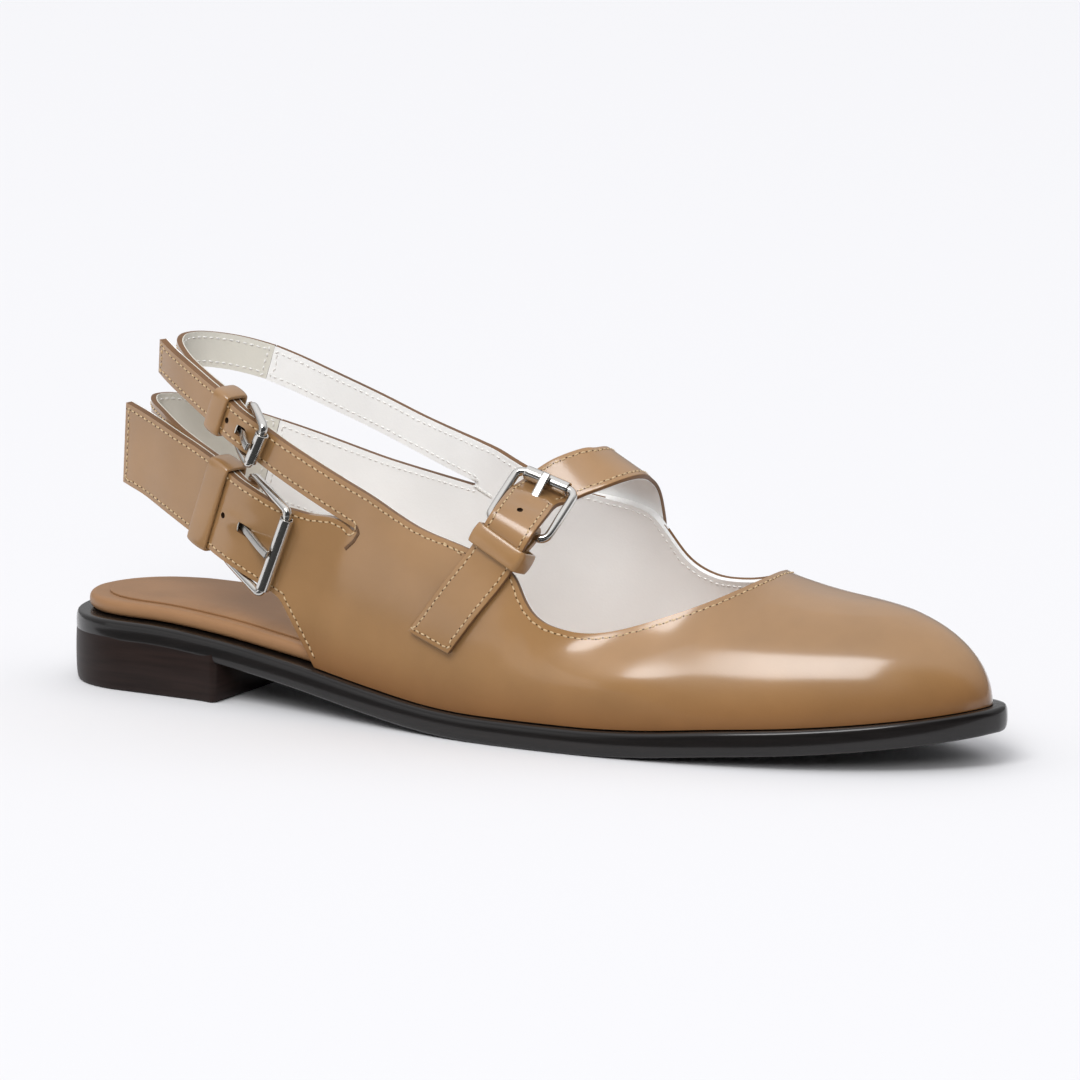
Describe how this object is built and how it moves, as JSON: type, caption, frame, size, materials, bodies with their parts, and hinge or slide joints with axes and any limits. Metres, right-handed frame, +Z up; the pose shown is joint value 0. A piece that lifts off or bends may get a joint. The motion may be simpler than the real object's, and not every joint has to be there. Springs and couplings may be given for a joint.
{
  "type": "slingback mary jane shoe",
  "caption": "Flat leather mary jane with an open heel: an instep strap and a wide and a narrow heel strap, each closed by a roller buckle, on a low-heeled sole.",
  "frame": {"origin": "on the floor, under the middle of the outsole's outline box", "axes": "+X to the toe, +Y to the inner side of the foot, +Z up"},
  "size_m": [0.2672, 0.0743, 0.0923],
  "materials": {
    "leather": "polished tan",
    "footbed": "smooth tan",
    "sole": "satin dark brown",
    "heel": "satin dark brown",
    "nickel": "polished"
  },
  "bodies": {
    "root": {"outsole": "sole", "heel": "heel", "insole": "footbed", "upper": "leather", "instep_strap": "leather", "buckle_chape": "leather", "heel_strap_upper": "leather", "heel_strap_lower": "leather", "keeper_instep": "leather", "keeper_upper": "leather", "keeper_lower": "leather", "buckle_frame_instep": "nickel", "buckle_roller_instep": "nickel", "buckle_prong_instep": "nickel", "buckle_frame_upper": "nickel", "buckle_roller_upper": "nickel", "buckle_prong_upper": "nickel", "buckle_frame_lower": "nickel", "buckle_roller_lower": "nickel", "buckle_prong_lower": "nickel"}
  },
  "joints": []
}
